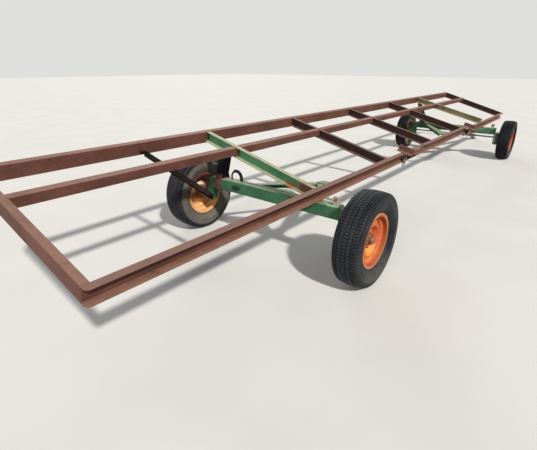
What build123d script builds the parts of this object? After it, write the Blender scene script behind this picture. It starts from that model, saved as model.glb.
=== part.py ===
from build123d import *
import os
from math import atan2, degrees, radians, sin, cos

os.makedirs("parts", exist_ok=True)

# Header trailer: a long channel-iron frame carried, tilted, on two wagon axles.
# All sizes are in mm. X runs from the rear of the frame to the tongue, Y to the left, Z up.
# The floor is at Z = 0 and the origin is midway along the whole trailer.

# Overall lengths
TRAILER_LENGTH = 9500
FRAME_LENGTH = 9160
REAR_OVERHANG = 1895
WHEELBASE = 5600
REAR_X = -TRAILER_LENGTH / 2
FRONT_X = REAR_X + FRAME_LENGTH
REAR_AXLE_X = REAR_X + REAR_OVERHANG
FRONT_AXLE_X = REAR_AXLE_X + WHEELBASE
TONGUE_TIP_X = TRAILER_LENGTH / 2

# The frame leans: its right rail is low and its left rail is high.
TILT = 14.7
RIGHT_RAIL_Y = -540
RIGHT_RAIL_TOP = 680
FRAME_WIDTH = 1254        # right rail's lips to the left rail's web
MIDDLE_RAIL_AT = 865      # right rail's lips to the middle rail's web

# Rolled channels
CHANNEL_DEPTH = 102
FLANGE = 45
WEB = 6
FLANGE_TOE = 6
FLANGE_ROOT = 9
MIDDLE_DEPTH = 70
MIDDLE_FLANGE = 50
CROSS_DEPTH = 92
CORNER_R = 28             # rounded outer corners of the rails' ends
COPE_DROP = 16            # the middle rail's top is cut this far down inside a crossmember
SPLICE_X = REAR_AXLE_X + 4250     # where the right rail steps down
SPLICE_LENGTH = 300
SPLICE_THICK = 8
STEP_DOWN = 50
REAR_REST_X = REAR_AXLE_X + 1660
FRONT_REST_X = SPLICE_X + 170
STUB_X = REAR_AXLE_X - 760        # stub of angle iron below the middle rail
STUB_FROM = 455

# Axles
AXLE_WIDTH = 90
REAR_TRACK = 1844
FRONT_TRACK = 1828
REAR_BEAM_TOP = 572
REAR_BEAM_DEPTH = 108
FRONT_BEAM_TOP = 522
FRONT_BEAM_DEPTH = 110
BEAM_WALL = 6
REAR_BEAM_HALF = 690
FRONT_BEAM_HALF = 705
KINGPIN_Y = 755
KINGPIN_R = 15
SPINDLE_R = 20
RUNNING = 0.05            # radial gap of a shaft in its bore

# Wheels: tyre radius and width, rim half width
REAR_TYRE_R = 366.5
REAR_TYRE_W = 208
REAR_RIM_HALF = 74
FRONT_TYRE_R = 334
FRONT_TYRE_W = 200
FRONT_RIM_HALF = 70
RIM_SEAT_R = 190.5
RIM_LIP_R = 210
RIM_SHEET = 5
RIM_WELL_R = 166
SPINDLE_END = 30          # how far a spindle passes the tyre's middle
HUB_INNER = 85            # how far the hub reaches inboard of it

# Steering linkage
STEER_ARM = 130
ROD_Z = 344
ROD_R = 12
STUD_R = 9
YOKE_TOP = FRONT_BEAM_TOP - FRONT_BEAM_DEPTH - 2
YOKE_PLATE = 16
TONGUE_HINGE_X = FRONT_AXLE_X + 255
TONGUE_HINGE_Z = 388
TONGUE_PIN_R = 12


def save(shape, name):
    export_step(shape, "parts/" + name + ".step")


def outline(points):
    return make_face(Polyline(*points, close=True))


def channel(depth, flange, opens=1):
    """Rolled channel section: web at the origin, top face at height 0, flanges to +X or -X."""
    section = outline([
        (0, 0), (flange, 0), (flange, -FLANGE_TOE), (WEB, -FLANGE_ROOT),
        (WEB, -depth + FLANGE_ROOT), (flange, -depth + FLANGE_TOE), (flange, -depth), (0, -depth),
    ])
    roots = [v for v in section.vertices() if abs(v.X - WEB) < 0.01]
    toes = [v for v in section.vertices() if abs(v.X - flange) < 0.01 and -depth + 1 < v.Y < -1]
    section = fillet(roots, 6)
    toes = [v for v in section.vertices() if abs(v.X - flange) < 0.01 and -depth + 1 < v.Y < -1]
    section = fillet(toes, 3)
    if opens < 0:
        section = mirror(section, about=Plane.YZ)
    return section


def along_x(section, start, end):
    return extrude(Plane.YZ.offset(start) * section, end - start)


def along_y(section, start, end):
    """Section drawn as X and Z, swept from Y = start to Y = end."""
    return extrude(Plane.XZ.offset(-start) * section, start - end)


def on_frame(shape):
    """From frame sizes (X, across, above) to the leaning frame's place on the trailer."""
    return Pos(0, RIGHT_RAIL_Y, RIGHT_RAIL_TOP) * Rot(TILT, 0, 0) * shape


def frame_point(across, above):
    """Y and Z of a point given across and above the leaning frame."""
    c, s = cos(radians(TILT)), sin(radians(TILT))
    return RIGHT_RAIL_Y + across * c - above * s, RIGHT_RAIL_TOP + across * s + above * c


def both_sides(shape):
    return [shape, mirror(shape, about=Plane.XZ)]


# Long rails; the outer corners of their flanges are rounded at the frame's ends
def round_corner(body, x, y, into_x, into_y):
    """Cuts the corner at x, y round; the rail lies towards into_x and into_y."""
    side = CORNER_R + 5
    square = Pos(x + into_x * (side / 2 - 5), y + into_y * (side / 2 - 5)) * Rectangle(side, side)
    cutter = square - Pos(x + into_x * CORNER_R, y + into_y * CORNER_R) * Circle(CORNER_R)
    return body - extrude(Plane.XY.offset(-2 * CHANNEL_DEPTH) * cutter, 3 * CHANNEL_DEPTH)


right_section = Pos(FLANGE, 0) * channel(CHANNEL_DEPTH, FLANGE, -1)
left_section = Pos(FRAME_WIDTH, 0) * channel(CHANNEL_DEPTH, FLANGE)
full_width = FRAME_WIDTH + FLANGE
right_rear = round_corner(along_x(right_section, REAR_X, SPLICE_X), REAR_X, 0, 1, 1)
right_front = round_corner(along_x(right_section, SPLICE_X, FRONT_X), FRONT_X, 0, -1, 1)
left = round_corner(along_x(left_section, REAR_X, FRONT_X), REAR_X, full_width, 1, -1)
left = round_corner(left, FRONT_X, full_width, -1, -1)
save(on_frame(right_rear), "rail_right_rear")
save(on_frame(Pos(0, 0, -STEP_DOWN) * right_front), "rail_right_front")
save(on_frame(left), "rail_left")

# Splice plate behind the right rail's web
splice = Box(SPLICE_LENGTH, SPLICE_THICK, CHANNEL_DEPTH - 6)
splice = Pos(SPLICE_X, FLANGE + SPLICE_THICK / 2, -STEP_DOWN - 50) * splice
save(on_frame(splice), "rail_splice_plate")

# Crossmembers between the right and left webs; all open towards the rear
# name, distance from the rear axle to the lips
CROSSMEMBERS = [
    ("cross_member_green_rear", -AXLE_WIDTH / 2 - FLANGE),
    ("cross_member_second", 1229),
    ("cross_member_third", 2594),
    ("cross_member_fourth", 3979),
    ("cross_member_green_front", 5343),
]
cross_section = Pos(FLANGE, 0) * channel(CROSS_DEPTH, FLANGE, -1)
for name, lips in CROSSMEMBERS:
    member = Pos(REAR_AXLE_X + lips, 0, 0) * along_y(cross_section, FLANGE, FRAME_WIDTH)
    save(on_frame(member), name)

# End members butt between the rails' webs; the front one drops to the stepped-down rail
end_section = channel(CHANNEL_DEPTH, FLANGE)
save(on_frame(Pos(REAR_X, 0, 0) * along_y(end_section, FLANGE, FRAME_WIDTH)), "end_member_rear")
front_lean = degrees(atan2(STEP_DOWN, FRAME_WIDTH))
front_end = Pos(0, -FRAME_WIDTH, 0) * along_y(mirror(end_section, about=Plane.YZ), -FLANGE, full_width)
front_end = Pos(FRONT_X, FRAME_WIDTH, 0) * Rot(front_lean, 0, 0) * front_end
between = Pos(FRONT_X, (FRAME_WIDTH + FLANGE) / 2, 0) * Box(4 * FLANGE, FRAME_WIDTH - FLANGE, 5 * CHANNEL_DEPTH)
save(on_frame(front_end & between), "end_member_front")

# Middle rail: one length between each pair of crossmembers. Where a member's trough faces it,
# its top flange is cut away and the rest runs on to just short of that member's web.
middle_section = Pos(MIDDLE_RAIL_AT, 0) * channel(MIDDLE_DEPTH, MIDDLE_FLANGE)
below_top = Pos(MIDDLE_RAIL_AT + MIDDLE_FLANGE / 2, -COPE_DROP - MIDDLE_DEPTH) * Rectangle(
    2 * MIDDLE_FLANGE, 2 * MIDDLE_DEPTH)
coped_section = middle_section & below_top
starts = [REAR_X + FLANGE] + [REAR_AXLE_X + lips + FLANGE for _, lips in CROSSMEMBERS]
ends = [REAR_AXLE_X + lips for _, lips in CROSSMEMBERS] + [FRONT_X - FLANGE]
into_trough = FLANGE - WEB - 0.3
lengths = []
for start, end in zip(starts, ends):
    length = along_x(middle_section, start, end)
    if end < FRONT_X - FLANGE:
        length = length + along_x(coped_section, end, end + into_trough)
    if start == REAR_X + FLANGE:
        length = length + along_x(coped_section, start - into_trough, start)
    lengths.append(length)
save(on_frame(Compound(lengths)), "rail_middle")

# Stub of angle iron below the middle rail
angle = outline([(-25, 0), (25, 0), (25, -50), (19, -50), (19, -6), (-25, -6)])
stub = Pos(STUB_X, 0, -MIDDLE_DEPTH) * along_y(angle, STUB_FROM, FRAME_WIDTH)
save(on_frame(stub), "stub_angle_bar")


# Header rests: a short angle across the right rail with a tapering outer cheek and a strap below
REST_HIGH = 66
REST_TOE = 26
REST_LENGTH = 390
REST_ACROSS = 170


def header_rest(x, above, name):
    foot = Pos(x, 20, above + 3) * Box(50, REST_ACROSS, 6)
    wall = Pos(x + 22, 20, above + 6 + (REST_HIGH - 6) / 2) * Box(6, REST_ACROSS, REST_HIGH - 6)
    cheek = outline([(x + 25, above + 6), (x + REST_LENGTH, above + 6),
                     (x + REST_LENGTH, above + REST_TOE), (x + 25, above + REST_HIGH - 6)])
    cheek = fillet(cheek.vertices().sort_by(Axis.Y)[2:], 5)
    cheek = along_y(cheek, -62, -56)
    base = Pos(x + 20 + (REST_LENGTH - 20) / 2, -30, above + 3) * Box(REST_LENGTH - 20, 70, 6)
    strap = Pos(x + 20, -3, above - 60) * Box(46, 6, 120)
    rest = foot + wall + cheek + base + strap
    save(on_frame(rest), name)


header_rest(REAR_REST_X, 0, "header_rest_rear")
header_rest(FRONT_REST_X, -STEP_DOWN, "header_rest_front")


# Axle beams: formed box tube
def beam(x, top, depth, half, name):
    section = RectangleRounded(AXLE_WIDTH, depth, 10) - RectangleRounded(
        AXLE_WIDTH - 2 * BEAM_WALL, depth - 2 * BEAM_WALL, 5)
    section = Pos(x, top - depth / 2) * section
    save(along_y(section, -half, half), name)


beam(REAR_AXLE_X, REAR_BEAM_TOP, REAR_BEAM_DEPTH, REAR_BEAM_HALF, "rear_axle_beam")
beam(FRONT_AXLE_X, FRONT_BEAM_TOP, FRONT_BEAM_DEPTH, FRONT_BEAM_HALF, "front_axle_beam")


# Rear drop ends: a tapering knee that carries the spindle
def rear_knee():
    knee = outline([
        (REAR_BEAM_HALF, REAR_BEAM_TOP - 4), (REAR_BEAM_HALF + 50, REAR_BEAM_TOP - 20),
        (REAR_BEAM_HALF + 80, REAR_TYRE_R + 60), (REAR_BEAM_HALF + 80, REAR_TYRE_R - 42),
        (REAR_BEAM_HALF + 30, REAR_TYRE_R - 42), (REAR_BEAM_HALF, REAR_TYRE_R + 40),
    ])
    knee = fillet(knee.vertices()[1:5], 12)
    knee = extrude(Plane.YZ.offset(REAR_AXLE_X - 33) * knee, 66)
    spindle = Pos(REAR_AXLE_X, REAR_BEAM_HALF + 70, REAR_TYRE_R) * Rot(-90, 0, 0) * Cylinder(
        SPINDLE_R, REAR_TRACK / 2 + SPINDLE_END - REAR_BEAM_HALF - 70, align=(Align.CENTER, Align.CENTER, Align.MIN))
    collar = Pos(REAR_AXLE_X, REAR_BEAM_HALF + 78, REAR_TYRE_R) * Rot(-90, 0, 0) * Cone(
        36, 28, 50, align=(Align.CENTER, Align.CENTER, Align.MIN))
    return knee + spindle + collar


save(Compound(both_sides(rear_knee())), "rear_axle_ends")


# Wedges that seat the leaning right rail on each level beam
def rail_wedge(x, beam_top, above, name):
    y0, z0 = frame_point(2, above)
    y1, z1 = frame_point(FLANGE - 1, above)
    wedge = outline([(y0, beam_top), (y1, beam_top), (y1, z1), (y0, z0)])
    save(extrude(Plane.YZ.offset(x - 40) * wedge, 80), name)


rail_wedge(REAR_AXLE_X, REAR_BEAM_TOP, -CHANNEL_DEPTH, "rear_rail_wedge")
rail_wedge(FRONT_AXLE_X, FRONT_BEAM_TOP, -CHANNEL_DEPTH - STEP_DOWN, "front_rail_wedge")


# Hounds: two converging angle irons that fall towards a pin plate where the reach pole would join,
# with a gusset plate between their roots
HOUND_LEG = 52
HOUND_IRON = 7
REACH_PIN_R = 13
# name, axle X, direction, apex distance, half spread at the beam, top of the irons, fall in degrees
HOUNDS = [
    ("rear_hounds", REAR_AXLE_X, 1, 905, 400, REAR_BEAM_TOP - 46, 7.0),
    ("front_hounds", FRONT_AXLE_X, -1, 700, 500, FRONT_BEAM_TOP - 20, 5.7),
]


def hounds(apex, spread, top, fall):
    root = AXLE_WIDTH / 2
    start = root - 12
    wide = spread + HOUND_LEG
    inner = apex - 120
    vee = outline([(start, spread), (start, wide), (apex, HOUND_LEG), (apex, -HOUND_LEG),
                   (start, -wide), (start, -spread), (inner, 0)])
    top_leg = extrude(Plane.XY.offset(top - HOUND_IRON) * vee, HOUND_IRON)
    rib = outline([(start, wide - HOUND_IRON), (start, wide), (apex, HOUND_LEG), (apex, HOUND_LEG - HOUND_IRON)])
    rib = extrude(Plane.XY.offset(top - HOUND_LEG) * rib, HOUND_LEG - 2)
    gusset = outline([(start, spread + 8), (root + 230, 30), (root + 230, -30), (start, -spread - 8)])
    gusset = extrude(Plane.XY.offset(top - HOUND_IRON) * gusset, HOUND_IRON)
    plate = fillet((Pos(apex - 5, 0) * Rectangle(150, 2 * HOUND_LEG + 6)).vertices(), 20)
    plate = plate - Pos(apex + 35, 0) * Circle(REACH_PIN_R)
    plate = extrude(Plane.XY.offset(top - 3) * plate, 13)
    pair = top_leg + rib + mirror(rib, about=Plane.XZ) + gusset + plate
    pair = Pos(root, 0, top) * Rot(0, fall, 0) * Pos(-root, 0, -top) * pair
    return pair & Pos(root + apex, 0, top) * Box(2 * apex, 4 * wide, 4 * apex)


for name, x, way, apex, spread, top, fall in HOUNDS:
    pair = hounds(apex, spread, top, fall)
    if way < 0:
        pair = mirror(pair, about=Plane.YZ)
    save(Pos(x, 0, 0) * pair, name)

# Rear riser: a tube square to the leaning frame, from the beam's top up the green crossmember's web,
# with a plate that laps down over the beam's near face
RISER_AT = FRAME_WIDTH - 190
RISER_WIDE = 66
RISER_PLATE = 12
RISER_LAP = 28            # height of the tube's weld on the crossmember's web
tube = RectangleRounded(AXLE_WIDTH, RISER_WIDE, 5) - RectangleRounded(AXLE_WIDTH - 12, RISER_WIDE - 12, 2)
tube = Pos(REAR_AXLE_X, RISER_AT, -600) * extrude(tube, 600 - CROSS_DEPTH + RISER_LAP)
tube = on_frame(tube) - Pos(REAR_AXLE_X, 0, REAR_BEAM_TOP - 500) * Box(1000, 4000, 1000)
lap = Pos(REAR_AXLE_X - (AXLE_WIDTH + RISER_PLATE) / 2, RISER_AT) * Rectangle(RISER_PLATE, RISER_WIDE)
lap = Pos(0, 0, -600) * extrude(lap, 600 - CROSS_DEPTH - 0.3)
lap = on_frame(lap) - Pos(REAR_AXLE_X, 0, REAR_BEAM_TOP - REAR_BEAM_DEPTH + 6 - 500) * Box(1000, 4000, 1000)
save(tube + lap, "rear_riser_left")

# Front riser: a tapering plate on each face of the beam, up to the left rail
yl0, zl0 = frame_point(FRAME_WIDTH + 2, -CHANNEL_DEPTH)
yl1, zl1 = frame_point(FRAME_WIDTH + FLANGE - 2, -CHANNEL_DEPTH)
upright = outline([
    (550, FRONT_BEAM_TOP - 86), (650, FRONT_BEAM_TOP - 86), (650, FRONT_BEAM_TOP + 20),
    (yl1, zl1), (yl0, zl0), (550, FRONT_BEAM_TOP + 60),
])
uprights = []
for x0 in (FRONT_AXLE_X - AXLE_WIDTH / 2 - 10, FRONT_AXLE_X + AXLE_WIDTH / 2):
    uprights.append(extrude(Plane.YZ.offset(x0) * upright, 10))
save(Compound(uprights), "front_riser_left")

# Stakes that keep the low rail from sliding off its beam, and a tie-down loop
STAKE_Y = -660
LOOP_FROM_RISER = 649
LOOP_Y = RISER_AT - LOOP_FROM_RISER
LOOP_R = 60
LOOP_WIRE = 8
LOOP_LEG = 24
stakes = []
for x, top in ((REAR_AXLE_X, REAR_BEAM_TOP), (FRONT_AXLE_X, FRONT_BEAM_TOP)):
    stake = fillet((Pos(STAKE_Y, top + 36) * Rectangle(55, 72)).vertices().sort_by(Axis.Z)[2:], 12)
    stakes.append(extrude(Plane.YZ.offset(x - 30) * stake, 12))
save(Compound(stakes), "right_rail_stakes")

loop_x = REAR_AXLE_X + 15
loop = Pos(loop_x, LOOP_Y, REAR_BEAM_TOP + LOOP_LEG) * Rot(90, 90, 0) * Torus(LOOP_R, LOOP_WIRE)
loop = loop & Pos(loop_x, LOOP_Y, REAR_BEAM_TOP + LOOP_LEG + 100) * Box(60, 4 * LOOP_R, 200)
for side in (-1, 1):
    leg = Pos(loop_x, LOOP_Y + side * LOOP_R, REAR_BEAM_TOP) * Cylinder(
        LOOP_WIRE, LOOP_LEG, align=(Align.CENTER, Align.CENTER, Align.MIN))
    loop = loop + leg
save(loop, "rear_tie_down_loop")


# Front axle ends: a forked bracket with its kingpin
LOW_LUG = FRONT_TYRE_R - 92
HIGH_LUG = FRONT_TYRE_R + 76
LUG = 18


def front_fork():
    end = Pos(FRONT_AXLE_X, FRONT_BEAM_HALF + 7, (LOW_LUG + FRONT_BEAM_TOP) / 2) * Box(
        50, 14, FRONT_BEAM_TOP - LOW_LUG)
    for z in (LOW_LUG, HIGH_LUG):
        lug = Pos(FRONT_AXLE_X, KINGPIN_Y - 22) * Rectangle(68, 44)
        lug = lug + Pos(FRONT_AXLE_X, KINGPIN_Y) * Circle(34)
        end = end + extrude(Plane.XY.offset(z) * lug, LUG)
    pin = Pos(FRONT_AXLE_X, KINGPIN_Y, LOW_LUG - 10) * Cylinder(
        KINGPIN_R, HIGH_LUG + LUG - LOW_LUG + 22, align=(Align.CENTER, Align.CENTER, Align.MIN))
    return end + pin


save(Compound(both_sides(front_fork())), "front_axle_ends")


# Steering knuckle: sleeve on the kingpin, spindle, and an arm with a ball stud
def knuckle():
    bottom = LOW_LUG + LUG + 2
    top = HIGH_LUG - 2
    sleeve = Cylinder(28, top - bottom, align=(Align.CENTER, Align.CENTER, Align.MIN))
    body = Pos(0, 0, bottom) * sleeve
    spindle = Pos(0, 10, FRONT_TYRE_R) * Rot(-90, 0, 0) * Cylinder(
        SPINDLE_R, FRONT_TRACK / 2 + SPINDLE_END - KINGPIN_Y - 10, align=(Align.CENTER, Align.CENTER, Align.MIN))
    collar = Pos(0, 16, FRONT_TYRE_R) * Rot(-90, 0, 0) * Cone(
        40, 28, FRONT_TRACK / 2 - KINGPIN_Y - HUB_INNER - 18, align=(Align.CENTER, Align.CENTER, Align.MIN))
    arm = Pos(STEER_ARM / 2, 0) * Rectangle(STEER_ARM, 26) + Pos(STEER_ARM, 0) * Circle(21)
    arm = extrude(Plane.XY.offset(bottom + 4) * arm, 16)
    stud = Pos(STEER_ARM, 0, bottom + 10) * Cylinder(
        STUD_R, ROD_Z + 22 - bottom - 10, align=(Align.CENTER, Align.CENTER, Align.MIN))
    whole = body + collar + spindle + arm + stud
    bore = Pos(0, 0, FRONT_TYRE_R) * Cylinder(KINGPIN_R + RUNNING, 300)
    return Pos(FRONT_AXLE_X, KINGPIN_Y, 0) * (whole - bore)


left_knuckle, right_knuckle = both_sides(knuckle())
save(left_knuckle, "knuckle_left")
save(right_knuckle, "knuckle_right")

# Tie rod: one bar with three eyes; it moves sideways without turning
rod = Pos(FRONT_AXLE_X + STEER_ARM, 0, ROD_Z) * Rot(90, 0, 0) * Cylinder(ROD_R, 2 * KINGPIN_Y)
for y in (-KINGPIN_Y, 0, KINGPIN_Y):
    rod = rod + Pos(FRONT_AXLE_X + STEER_ARM, y, ROD_Z) * Cylinder(20, 28)
for y in (-KINGPIN_Y, 0, KINGPIN_Y):
    rod = rod - Pos(FRONT_AXLE_X + STEER_ARM, y, ROD_Z) * Cylinder(STUD_R + RUNNING, 80)
save(rod, "tie_rod")

# Centre post under the front beam, and the steering yoke that turns on it
POST_R = 20
post = Pos(FRONT_AXLE_X, 0, YOKE_TOP + 2 - 46) * Cylinder(
    POST_R, 46, align=(Align.CENTER, Align.CENTER, Align.MIN))
nut = Pos(FRONT_AXLE_X, 0, YOKE_TOP - YOKE_PLATE - 2 - 20) * extrude(RegularPolygon(34, 6), 20)
save(post + nut, "steering_post")

EAR_Y = 40
EAR = 12
plan = Circle(62) + Pos(100, 0) * Rectangle(200, 2 * (EAR_Y + EAR))
plan = plan - Circle(POST_R + RUNNING)
yoke = Pos(FRONT_AXLE_X, 0, YOKE_TOP - YOKE_PLATE) * extrude(plan, YOKE_PLATE)
ear = outline([(175, YOKE_TOP), (270, YOKE_TOP), (290, TONGUE_HINGE_Z), (270, TONGUE_HINGE_Z - 32),
               (225, TONGUE_HINGE_Z - 32), (175, YOKE_TOP - YOKE_PLATE)])
ear = fillet(ear.vertices(), 8)
ear = Pos(FRONT_AXLE_X, 0, 0) * along_y(ear, EAR_Y, EAR_Y + EAR)
yoke = yoke + ear + mirror(ear, about=Plane.XZ)
hinge_pin = Pos(TONGUE_HINGE_X, 0, TONGUE_HINGE_Z) * Rot(90, 0, 0) * Cylinder(
    TONGUE_PIN_R, 2 * (EAR_Y + EAR) + 24)
yoke_stud = Pos(FRONT_AXLE_X + STEER_ARM, 0, ROD_Z - 20) * Cylinder(
    STUD_R, YOKE_TOP - YOKE_PLATE + 4 - ROD_Z + 20, align=(Align.CENTER, Align.CENTER, Align.MIN))
save(yoke + hinge_pin + yoke_stud, "steering_yoke")

# Tongue: a box bar from the yoke down to the floor, with a two-plate clevis
BAR_HALF = 30
CLEVIS_PLATE = 14
HITCH_PIN_R = 13.5
reach = TONGUE_TIP_X - TONGUE_HINGE_X
nose = BAR_HALF + CLEVIS_PLATE
droop = 0.2
for _ in range(60):
    tongue_length = (reach - nose * sin(droop)) / cos(droop)
    droop = atan2(TONGUE_HINGE_Z - nose * cos(droop), tongue_length * cos(droop))


def on_tongue(shape):
    return Pos(TONGUE_HINGE_X, 0, TONGUE_HINGE_Z) * Rot(0, degrees(droop), 0) * shape


tube = RectangleRounded(50, 2 * BAR_HALF, 8) - RectangleRounded(40, 2 * BAR_HALF - 10, 4)
tube = extrude(Plane.YZ.offset(24) * tube, tongue_length - 150 - 24)
eye = Rot(90, 0, 0) * Cylinder(28, 70) + Pos(24, 0, 0) * Box(30, 50, 50)
bar = tube + eye - Rot(90, 0, 0) * Cylinder(TONGUE_PIN_R + RUNNING, 90)
save(on_tongue(bar), "tongue_bar")

clevis_plan = Pos(tongue_length - 145, 0) * Rectangle(220, 70) + Pos(tongue_length - 35, 0) * Circle(35)
clevis_plan = clevis_plan - Pos(tongue_length - 42, 0) * Circle(HITCH_PIN_R)
clevis = [extrude(Plane.XY.offset(z) * clevis_plan, CLEVIS_PLATE) for z in (BAR_HALF, -nose)]
save(on_tongue(Compound(clevis)), "tongue_clevis")


# Wheels. Sections are drawn as distance outboard of the tyre's middle and radius.
def turned(section):
    return revolve(Plane.YZ * section, axis=Axis.Y)


def tyre(radius, width, rim_half):
    bead = rim_half - RIM_SHEET
    half = width / 2
    belly = RIM_SEAT_R + (radius - RIM_SEAT_R) * 0.52
    seat = RIM_SEAT_R + 0.3
    toe = bead - 18
    with BuildLine() as path:
        right_side = [(bead, seat), (bead, RIM_LIP_R + 3)]
        Polyline((-toe, seat), (-bead, seat), (-bead, RIM_LIP_R + 3))
        ThreePointArc((-bead, RIM_LIP_R + 3), (-half, belly), (-half + 17, radius - 17))
        Line((-half + 17, radius - 17), (-half + 34, radius - 6))
        ThreePointArc((-half + 34, radius - 6), (0, radius), (half - 34, radius - 6))
        Line((half - 34, radius - 6), (half - 17, radius - 17))
        ThreePointArc((half - 17, radius - 17), (half, belly), (bead, RIM_LIP_R + 3))
        Polyline((bead, RIM_LIP_R + 3), (bead, seat), (toe, seat), (toe, RIM_LIP_R + 6))
        ThreePointArc((toe, RIM_LIP_R + 6), (half - 13, belly), (half - 34, radius - 22))
        Line((half - 34, radius - 22), (-half + 34, radius - 22))
        ThreePointArc((-half + 34, radius - 22), (-half + 13, belly), (-toe, RIM_LIP_R + 6))
        Line((-toe, RIM_LIP_R + 6), (-toe, seat))
    return turned(make_face(path.line))


def rim(rim_half):
    lip, seat, sheet = rim_half, RIM_SEAT_R, RIM_SHEET
    well = RIM_WELL_R
    barrel = outline([
        (lip, RIM_LIP_R), (lip - sheet, RIM_LIP_R), (lip - sheet, seat), (lip - 30, seat),
        (lip - 44, well), (-lip + 62, well), (-lip + 48, seat), (-lip + sheet, seat),
        (-lip + sheet, RIM_LIP_R), (-lip, RIM_LIP_R), (-lip, seat - sheet),
        (-lip + 46, seat - sheet), (-lip + 60, well - sheet), (lip - 42, well - sheet),
        (lip - 28, seat - sheet), (lip, seat - sheet),
    ])
    disc = outline([
        (10, well - 2), (18, well - 2), (42, 124), (42, 108), (6, 84), (6, 46),
        (0, 46), (0, 88), (35, 112), (35, 121),
    ])
    return turned(barrel + disc)


def hub():
    section = outline([
        (-HUB_INNER, SPINDLE_R + RUNNING), (-HUB_INNER, 38), (-12, 38), (-12, 72), (0, 72), (0, 45.7), (18, 45.7),
        (24, 31), (50, 29), (61, 18), (61, 0), (38, 0), (38, SPINDLE_R + RUNNING),
    ])
    return turned(section)


# name, axle X, track, tyre radius, tyre width, rim half width
AXLES = [
    ("rear", REAR_AXLE_X, REAR_TRACK, REAR_TYRE_R, REAR_TYRE_W, REAR_RIM_HALF),
    ("front", FRONT_AXLE_X, FRONT_TRACK, FRONT_TYRE_R, FRONT_TYRE_W, FRONT_RIM_HALF),
]
for name, x, track, radius, width, rim_half in AXLES:
    pieces = {"tyre": tyre(radius, width, rim_half), "rim": rim(rim_half), "hub": hub()}
    for piece, shape in pieces.items():
        left, right = both_sides(Pos(x, track / 2, radius) * shape)
        save(left, f"{piece}_{name}_left")
        save(right, f"{piece}_{name}_right")
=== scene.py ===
import math
import random
import bpy
from mathutils import Matrix, Vector, noise


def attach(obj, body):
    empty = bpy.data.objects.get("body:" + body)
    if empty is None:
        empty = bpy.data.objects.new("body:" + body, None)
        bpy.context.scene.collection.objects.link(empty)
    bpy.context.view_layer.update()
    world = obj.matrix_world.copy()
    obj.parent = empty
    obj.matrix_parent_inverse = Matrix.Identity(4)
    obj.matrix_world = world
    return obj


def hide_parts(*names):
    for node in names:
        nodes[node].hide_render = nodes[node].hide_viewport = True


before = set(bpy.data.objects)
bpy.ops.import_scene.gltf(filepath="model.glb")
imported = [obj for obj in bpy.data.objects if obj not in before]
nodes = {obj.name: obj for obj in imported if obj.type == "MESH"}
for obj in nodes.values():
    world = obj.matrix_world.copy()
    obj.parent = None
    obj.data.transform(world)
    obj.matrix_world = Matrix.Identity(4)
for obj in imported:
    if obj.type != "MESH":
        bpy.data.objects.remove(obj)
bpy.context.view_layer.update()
random.seed(7)

# Sizes shared with the CAD model, in metres
REAR_X, FRONT_X = -4.75, 4.41
REAR_AXLE_X, FRONT_AXLE_X = -2.855, 2.745
TILT = math.radians(14.7)
RIGHT_RAIL_Y, RIGHT_RAIL_TOP = -0.54, 0.68
FRAME_WIDTH, FLANGE, DEPTH = 1.254, 0.045, 0.102
MIDDLE_AT, MIDDLE_DEPTH = 0.865, 0.07
CROSS_DEPTH = 0.092
SPLICE_X, STEP_DOWN = 1.395, 0.05
CROSS_LIPS = [REAR_AXLE_X + d for d in (-0.090, 1.229, 2.594, 3.979, 5.343)]
RESTS = [(REAR_AXLE_X + 1.66, 0.0), (SPLICE_X + 0.17, -STEP_DOWN)]
KINGPIN_Y, FRONT_BEAM_HALF, REAR_BEAM_HALF = 0.755, 0.705, 0.690
REAR_BEAM_TOP, FRONT_BEAM_TOP = 0.572, 0.522
REAR_BEAM_FACE_X = REAR_AXLE_X - 0.045
LOOP_X, LOOP_Y, LOOP_R, LOOP_CENTRE_Z = REAR_AXLE_X + 0.015, 0.415, 0.060, 0.596
REAR_WHEEL_Y, REAR_TYRE_R = 0.922, 0.3665
FRONT_WHEEL_Y, FRONT_TYRE_R = 0.914, 0.334
# name, centre, tyre radius, tyre width, rim half width
WHEELS = [
    ("rear_left", (REAR_AXLE_X, REAR_WHEEL_Y, REAR_TYRE_R), REAR_TYRE_R, 0.208, 0.074),
    ("rear_right", (REAR_AXLE_X, -REAR_WHEEL_Y, REAR_TYRE_R), REAR_TYRE_R, 0.208, 0.074),
    ("front_left", (FRONT_AXLE_X, FRONT_WHEEL_Y, FRONT_TYRE_R), FRONT_TYRE_R, 0.200, 0.070),
    ("front_right", (FRONT_AXLE_X, -FRONT_WHEEL_Y, FRONT_TYRE_R), FRONT_TYRE_R, 0.200, 0.070),
]
# A weld bead's radius, step along, sides and ripple, and a plate's chamfer
WELD_R, WELD_STEP, WELD_SIDES, WELD_RIPPLE = 0.0035, 0.0028, 7, 0.17
CHAMFER = 0.0012
# Degrees up to which an edge is drawn smooth
FITTING_SMOOTH, WELD_SMOOTH, TYRE_SMOOTH = 35, 40, 42


def frame_point(x, across, above):
    """A point on the leaning frame: along, across from the low rail, and above its top."""
    c, s = math.cos(TILT), math.sin(TILT)
    return Vector((x, RIGHT_RAIL_Y + across * c - above * s, RIGHT_RAIL_TOP + across * s + above * c))


def stand(at, axis):
    """Puts a shape's foot at a point, with its Z along the axis."""
    turn = Vector(axis).normalized().to_track_quat("Z", "Y")
    return Matrix.Translation(Vector(at)) @ turn.to_matrix().to_4x4()


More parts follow.
